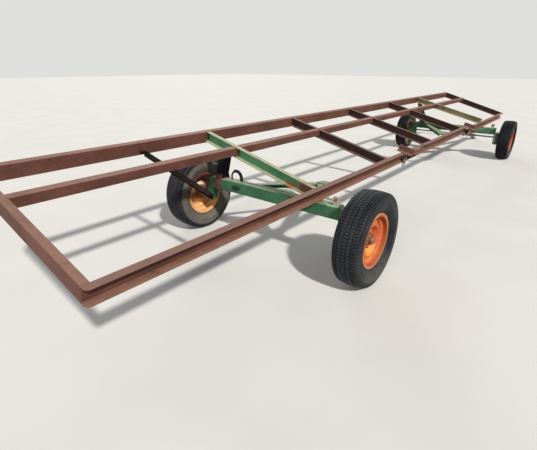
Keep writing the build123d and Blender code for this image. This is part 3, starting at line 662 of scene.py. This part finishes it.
def tyre_section(radius, width, rim_half):
    """The tyre's closed section: place across, radius, zigzag share, which sipes cut it, cut depth."""
    half = width / 2
    bead = rim_half - 0.0052
    belly = RIM_RADIUS + (radius - RIM_RADIUS) * 0.52
    lugs = max(belly + 0.014, radius - 0.066)
    # outer wall from the bead to the shoulder: place, radius, lug share
    wall = [
        (bead, BEAD_SEAT, 0), (bead, BEAD_LIP - 0.006, 0), (bead + 0.001, BEAD_LIP, 0),
        (bead + 0.0065, BEAD_LIP + 0.004, 0), (bead + 0.0085, BEAD_LIP + 0.0085, 0),
        (bead + 0.0080, BEAD_LIP + 0.0125, 0), (bead + 0.0110, BEAD_LIP + 0.0150, 0),
        (half - 0.0135, 0.2420, 0), (half - 0.0045, 0.2600, 0), (half - 0.0012, belly - 0.012, 0),
        (half, belly - 0.008, 0), (half, belly + 0.004, 0), (half - 0.0012, belly + 0.009, 0),
        (half - 0.0024, lugs, 0), (half - 0.0022, lugs + 0.002, 0.6), (half - 0.0028, radius - 0.0460, 1),
        (half - 0.0042, radius - 0.0330, 1), (half - 0.0072, radius - 0.0215, 1),
        (half - 0.0118, radius - 0.0125, 1),
    ]
    toe, inner_crown = bead - 0.018, radius - 0.022
    inside = [
        (toe, BEAD_SEAT), (toe, BEAD_LIP + 0.003), (half - 0.013, belly), (half - 0.034, inner_crown),
        (0, inner_crown), (-half + 0.034, inner_crown), (-half + 0.013, belly), (-toe, BEAD_LIP + 0.003),
        (-toe, BEAD_SEAT),
    ]
    loop = [(-y, r, 0.0, LOW_A, LUG_CUT * lug) for y, r, lug in wall]
    loop += [(y, radius - drop, zig, sipes, cut) for y, drop, zig, sipes, cut in tread_columns(half)]
    loop += [(y, r, 0.0, LOW_A, LUG_CUT * lug) for y, r, lug in reversed(wall)]
    return loop + [(y, r, 0.0, (), 0.0) for y, r in inside]


def tyre(name, centre, radius, width, rim_half):
    """A tyre with its bead, walls, shoulder lugs and sipes, in the place of the CAD tyre."""
    side = 1 if centre[1] > 0 else -1
    half = width / 2
    edge = half - SHOULDER
    loop = tyre_section(radius, width, rim_half)
    centre = Vector(centre)
    b = Build()
    for pitch in range(PITCHES):
        for step, part in enumerate(STEPS):
            zig = ZIGZAG * (1 - abs(2 * part - 1) * 2)
            for y, r, share, sipes, cut in loop:
                on_tread = r > radius - 0.04 and abs(y) < half - 0.007
                slant = SLANT * math.sin(y / edge * SLANT_TURNS) if on_tread else 0.0
                angle = 2 * math.pi * (pitch + part) / PITCHES + slant / radius
                reach = r - (cut if step in sipes else 0.0)
                b.points.append(centre + Vector((
                    reach * math.sin(angle), y + zig * share, reach * math.cos(angle))))
    rings, count = PITCHES * len(STEPS), len(loop)
    for i in range(rings):
        j = (i + 1) % rings
        for k in range(count):
            m = (k + 1) % count
            b.faces.append([i * count + k, i * count + m, j * count + m, j * count + k])
    tints = REAR_RUBBER if "rear" in name else FRONT_RUBBER_SHADED
    finish = rubber("tyre_rubber_" + name, radius, side, *tints)
    piece = b.piece("tyre_tread_" + name, "wheel_" + name, finish, TYRE_SMOOTH, "tyre_black", centre)
    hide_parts("tyre_" + name)


for wheel in WHEELS:
    tyre(*wheel)

# Small parts of the wheels; the profiles are (height, radius) pairs
NUT_CIRCLE, NUT_SEAT, VALVE_ANGLE = 0.0585, 0.006, 2.2
NUT = [(-0.0005, 0.0125), (0.003, 0.0105), (0.003, 0.0118), (0.014, 0.0118), (0.017, 0.0098)]
STUD_END = [(0.016, 0.0062), (0.026, 0.0062), (0.0275, 0.005)]
CAP_RING = [(0.044, 0.0292), (0.044, 0.0312), (0.047, 0.0318), (0.050, 0.0312), (0.0505, 0.0286)]


def wheel_fittings(name, centre):
    """Five nuts on their studs, a valve stem, and the ring round the hub cap."""
    side = 1 if centre[1] > 0 else -1

    def spot_on(radius, angle, out):
        """A point about the wheel's axle, out from its middle on the outer side."""
        return Vector((centre[0] + radius * math.cos(angle), centre[1] + side * out,
                       centre[2] + radius * math.sin(angle)))

    nuts = Build()
    for k in range(5):
        place = stand(spot_on(NUT_CIRCLE, 2 * math.pi * (k + 0.3) / 5, NUT_SEAT), (0, side, 0))
        nuts.lathe(NUT, 6, place, k)
        nuts.lathe(STUD_END, 14, place)
    nuts.piece("wheel_nuts_" + name, "wheel_" + name, nut_iron, FITTING_SMOOTH, "hub_grey")
    stem = Build()
    inner, tip = spot_on(0.170, VALVE_ANGLE, 0.030), spot_on(0.146, VALVE_ANGLE, 0.056)
    foot = [inner, inner.lerp(tip, 0.22), inner.lerp(tip, 0.3)]
    cap = [tip, tip + (tip - inner) * 0.22]
    stem.tube([inner.lerp(tip, k / 6) for k in range(7)], 0.0042, 12)
    stem.tube(foot, 0.0075, 12)
    stem.tube(cap, 0.0048, 12)
    stem.piece("valve_stem_" + name, "wheel_" + name, bolt_steel, FITTING_SMOOTH, "tyre_black")
    ring = Build()
    ring.lathe(CAP_RING, 40, stand(centre, (0, side, 0)))
    ring.piece("hub_cap_ring_" + name, "wheel_" + name, hub_iron, FITTING_SMOOTH, "hub_grey")


for name, centre, *_ in WHEELS:
    wheel_fittings(name, centre)

# Weld beads where the frame's channels meet. They stop short of the edges and sink into the face.
SHORT, SUNK = 0.004, 0.0005
SLIM_WELD, WEB_WELD, WIDE_WELD = 0.0028, 0.003, 0.004
SPLICE_HALF, MIDDLE_WEB = 0.15, 0.006
welds = Build()


def frame_weld(x0, u0, v0, x1, u1, v1, radius=WELD_R):
    """A bead between two points of the leaning frame: x along, u across from the low rail, v above."""
    welds.weld(frame_point(x0, u0, v0), frame_point(x1, u1, v1), radius)


for lips in CROSS_LIPS:
    web = lips + FLANGE
    for u in (FLANGE, FRAME_WIDTH):
        frame_weld(web, u, -SHORT, web, u, -CROSS_DEPTH + SHORT)
        frame_weld(lips + SHORT, u, -SUNK, web - SHORT, u, -SUNK, SLIM_WELD)
    for u in (MIDDLE_AT, MIDDLE_AT + MIDDLE_WEB):
        frame_weld(web, u, -SHORT, web, u, -MIDDLE_DEPTH + SHORT, WEB_WELD)
    frame_weld(lips, MIDDLE_AT + 0.003, -0.001, lips, MIDDLE_AT + 0.046, -0.001, SLIM_WELD)
frame_weld(FRONT_X - FLANGE, MIDDLE_AT, -0.022, FRONT_X - FLANGE, MIDDLE_AT, -0.066, WEB_WELD)
for x, way in ((REAR_X, 1), (FRONT_X, -1)):
    # the low rail is stepped down at the front end
    for u, top in ((FLANGE, 0.0 if way > 0 else -0.0485), (FRAME_WIDTH, 0.0)):
        near, far = x + way * SHORT, x + way * (FLANGE - SHORT)
        frame_weld(near, u, top - SUNK, far, u, top - SUNK, SLIM_WELD)
        outer = x - way * SUNK
        frame_weld(outer, u, top - SHORT, outer, u, top - DEPTH + SHORT, WEB_WELD)
frame_weld(SPLICE_X, SHORT, -STEP_DOWN + 0.001, SPLICE_X, 0.038, -STEP_DOWN + 0.001, WEB_WELD)
for end in (SPLICE_X - SPLICE_HALF, SPLICE_X + SPLICE_HALF):
    u = FLANGE + 0.004
    frame_weld(end, u, -STEP_DOWN - 0.006, end, u, -STEP_DOWN - 0.044, WIDE_WELD)
# each rest's wall and cheek, along the rail's top
for x, above in RESTS:
    frame_weld(x + 0.019, -0.062, above + 0.007, x + 0.019, 0.10, above + 0.007)
    frame_weld(x + 0.03, -0.0555, above + 0.007, x + 0.38, -0.0555, above + 0.007)
welds.piece("frame_weld_beads", "frame", brown, WELD_SMOOTH, "brown_paint")

green_welds = Build()
# Round the roots of the hounds: axle, way to the reach, top of the roots, how far they spread
for axle, way, top, spread in ((REAR_AXLE_X, 1, 0.526, 0.400), (FRONT_AXLE_X, -1, 0.502, 0.500)):
    x = axle + way * 0.046
    green_welds.weld((x, -spread - 0.050, top + 0.001), (x, spread + 0.050, top + 0.001))
    for side in (-1, 1):
        y = side * (spread + 0.0535)
        green_welds.weld((x, y, top - 0.002), (x, y, top - 0.048))
# Where the axles' drop ends and forks meet their beams
for side in (-1, 1):
    y = side * (REAR_BEAM_HALF + 0.001)
    for dx in (-0.033, 0.033):
        green_welds.weld((REAR_AXLE_X + dx, y, 0.560), (REAR_AXLE_X + dx, y, 0.470), WIDE_WELD)
    y, z = side * (REAR_BEAM_HALF + SUNK), REAR_BEAM_TOP - 0.0035
    green_welds.weld((REAR_AXLE_X - 0.03, y, z), (REAR_AXLE_X + 0.03, y, z))
    y = side * (FRONT_BEAM_HALF + 0.001)
    for dx in (-0.025, 0.025):
        green_welds.weld((FRONT_AXLE_X + dx, y, 0.515), (FRONT_AXLE_X + dx, y, 0.420), WIDE_WELD)
green_welds.piece("axle_weld_beads", "frame", green, WELD_SMOOTH, "green_paint")

# Bolts on the frame body: along the splice, through the rests' straps, and at the axle beams
bolts = Build()
outward = Vector((0, -math.cos(TILT), -math.sin(TILT)))
for dx in (-0.115, -0.05, 0.05, 0.115):
    for above in (-0.072, -0.088) if dx < 0 else (-0.088, -0.125):
        bolts.bolt(frame_point(SPLICE_X + dx, FLANGE - 0.0065, above), outward, 0.0105)
for x, above in RESTS:
    for drop in (0.095, 0.111):
        bolts.bolt(frame_point(x + 0.020, -0.006, above - drop), outward, 0.010, 0.012)
for axle, top in ((REAR_AXLE_X, REAR_BEAM_TOP), (FRONT_AXLE_X, FRONT_BEAM_TOP)):
    bolts.bolt((axle - 0.030, -0.660, top + 0.050), (-1, 0, 0), 0.011)
for y in (0.575, 0.620):
    for z in (0.460, 0.500):
        for way in (-1, 1):
            bolts.bolt((FRONT_AXLE_X + way * 0.055, y, z), (way, 0, 0), 0.011)
# Caps and grease nipples on the kingpins
KINGPIN_TOP, KINGPIN_CAP = 0.440, [(0, 0.030), (0.004, 0.030), (0.008, 0.024), (0.010, 0.010)]
for side in (-1, 1):
    x, y = FRONT_AXLE_X, side * KINGPIN_Y
    bolts.lathe(KINGPIN_CAP, 24, Matrix.Translation((x, y, KINGPIN_TOP)))
    bolts.tube([(x, y, KINGPIN_TOP + 0.009), (x, y, KINGPIN_TOP + 0.020)], 0.0036, 8)
bolts.piece("frame_bolts", "frame", bolt_steel, FITTING_SMOOTH, "bare_steel")

beam_bolts = Build()
for y in (0.345, 0.395):
    beam_bolts.bolt((REAR_BEAM_FACE_X, y, 0.525), (-1, 0, 0), 0.014, 0.006)
beam_bolts.piece("beam_bolts", "frame", black_iron, FITTING_SMOOTH, "bare_steel")

# A length of hose over the tie-down loop, up its near leg and past the top
sleeve = Build()
leg = [(LOOP_X, LOOP_Y - LOOP_R, LOOP_CENTRE_Z - below) for below in (0.020, 0.010)]
bow = [(LOOP_X, LOOP_Y - LOOP_R * math.cos(a), LOOP_CENTRE_Z + LOOP_R * math.sin(a))
       for a in (math.radians(degrees) for degrees in range(0, 116, 5))]
sleeve.tube(leg + bow, 0.0145, 16)
sleeve.piece("loop_hose_sleeve", "frame", black_iron, FITTING_SMOOTH, "bare_steel")

# A U-shaped rod outside the rail's web under each header rest
ROD_R, ROD_ACROSS, ROD_MIDDLE, ROD_HALF = 0.005, -0.013, 0.020, 0.032
clamps = Build()
for x, above in RESTS:
    middle = x + ROD_MIDDLE
    bend = [frame_point(middle - ROD_HALF * math.cos(a), ROD_ACROSS, above - 0.115 - 0.030 * math.sin(a))
            for a in (math.pi * k / 24 for k in range(25))]
    start, end = (frame_point(middle + dx, ROD_ACROSS, above - 0.050) for dx in (-ROD_HALF, ROD_HALF))
    clamps.tube([start] + bend + [end], ROD_R, 12)
clamps.piece("rest_clamp_bolts", "frame", bright, FITTING_SMOOTH, "bare_steel")

# The bright clamp in front of the splice: one plate on the rail's top and one on its web
splice_clamp = Build()
place = Matrix.Translation(frame_point(SPLICE_X, 0.0, -STEP_DOWN)) @ Matrix.Rotation(TILT, 4, "X")
lean = place.to_3x3()
splice_clamp.plate((0.018, 0.003, 0.0), (0.160, 0.042, 0.008), place)
splice_clamp.plate((0.225, -0.006, -0.101), (0.365, 0.0, -0.001), place)
for x in (0.250, 0.340):
    for z in (-0.030, -0.074):
        splice_clamp.bolt(place @ Vector((x, -0.006, z)), lean @ Vector((0, -1, 0)), 0.013, 0.010)
for x in (0.045, 0.130):
    splice_clamp.bolt(place @ Vector((x, 0.022, 0.008)), lean @ Vector((0, 0, 1)), 0.012, 0.008)
splice_clamp.piece("front_rest_clamp", "frame", bright, FITTING_SMOOTH, "bare_steel")

# Floor and background
FLOOR_HALF = 60
FLOOR_TINTS = (0.70, 0.69, 0.67, 1), (0.73, 0.72, 0.70, 1)
# Rays that only carry light meet a dark floor, so that little of it shines up under the frame
LIT_FLOOR = (0.13, 0.13, 0.11, 1)
SKY_TINT, SKY_STRENGTH = (0.93, 0.96, 1.0, 1), 0.22
BACKGROUND = (0.74, 0.74, 0.73, 1)
floor_mesh = bpy.data.meshes.new("floor")
corners = [(x * FLOOR_HALF, y * FLOOR_HALF, 0) for x, y in ((-1, -1), (1, -1), (1, 1), (-1, 1))]
floor_mesh.from_pydata(corners, [], [(0, 1, 2, 3)])
floor = bpy.data.objects.new("floor", floor_mesh)
bpy.context.scene.collection.objects.link(floor)


def background_rays(tree):
    """1 for camera, glossy and transmission rays, which see the pale background."""
    path = tree.nodes.new("ShaderNodeLightPath")
    seen = path.outputs["Is Camera Ray"]
    for name in ("Is Glossy Ray", "Is Transmission Ray"):
        either = tree.nodes.new("ShaderNodeMath")
        either.operation = "MAXIMUM"
        tree.links.new(seen, either.inputs[0])
        tree.links.new(path.outputs[name], either.inputs[1])
        seen = either.outputs[0]
    return seen


ground = Shader("pale_floor")
pale = ground.mix(ground.fit(ground.noise(1.2, 3), 0.3, 0.7), *FLOOR_TINTS)
floor_tint = ground.mix(background_rays(ground.tree), LIT_FLOOR, pale)
floor.data.materials.append(ground.finish(floor_tint, 0.9))

world = bpy.data.worlds.new("studio")
bpy.context.scene.world = world
world.use_nodes = True
tree = world.node_tree
tree.nodes.clear()
world_out = tree.nodes.new("ShaderNodeOutputWorld")
sky, seen, choose = (tree.nodes.new(kind) for kind in (
    "ShaderNodeBackground", "ShaderNodeBackground", "ShaderNodeMixShader"))
sky.inputs["Color"].default_value = SKY_TINT
sky.inputs["Strength"].default_value = SKY_STRENGTH
seen.inputs["Color"].default_value = BACKGROUND
seen.inputs["Strength"].default_value = 1.0
tree.links.new(background_rays(tree), choose.inputs[0])
tree.links.new(sky.outputs[0], choose.inputs[1])
tree.links.new(seen.outputs[0], choose.inputs[2])
tree.links.new(choose.outputs[0], world_out.inputs[0])


# Light
def sun(name, strength, spread, direction, tint=(1.0, 1.0, 1.0)):
    """Light from far off; spread is its width in degrees, direction the way it shines."""
    data = bpy.data.lights.new(name, "SUN")
    data.energy = strength
    data.angle = math.radians(spread)
    data.color = tint
    lamp = bpy.data.objects.new(name, data)
    lamp.rotation_mode = "QUATERNION"
    lamp.rotation_quaternion = Vector(direction).to_track_quat("-Z", "Y")
    bpy.context.scene.collection.objects.link(lamp)


sun("key", 3.6, 3, (0.312, 0.702, -0.640), (1.0, 0.965, 0.9))
sun("fill", 0.9, 25, (0.93, 0.15, -0.33))
sun("far_fill", 0.9, 30, (-0.62, -0.70, -0.35))

# Camera, as solved from the photo: its place, the angles it looks at, and its lens
CAMERA_AT, SENSOR, LENS = (-5.3256, -1.9943, 1.5510), 36, 25.66
yaw, pitch, roll = math.radians(39.21), math.radians(22.54), 0.001844
forward = Vector((math.cos(pitch) * math.cos(yaw), math.cos(pitch) * math.sin(yaw), -math.sin(pitch)))
level = Vector((math.sin(yaw), -math.cos(yaw), 0))
right = level * math.cos(roll) + level.cross(forward) * math.sin(roll)
turn = Matrix((right, right.cross(forward), -forward)).transposed()
camera_data = bpy.data.cameras.new("camera")
camera_data.sensor_width = SENSOR
camera_data.lens = LENS
camera = bpy.data.objects.new("camera", camera_data)
camera.matrix_world = Matrix.Translation(CAMERA_AT) @ turn.to_4x4()
bpy.context.scene.collection.objects.link(camera)
bpy.context.scene.camera = camera
bpy.context.scene.view_settings.view_transform = "Standard"
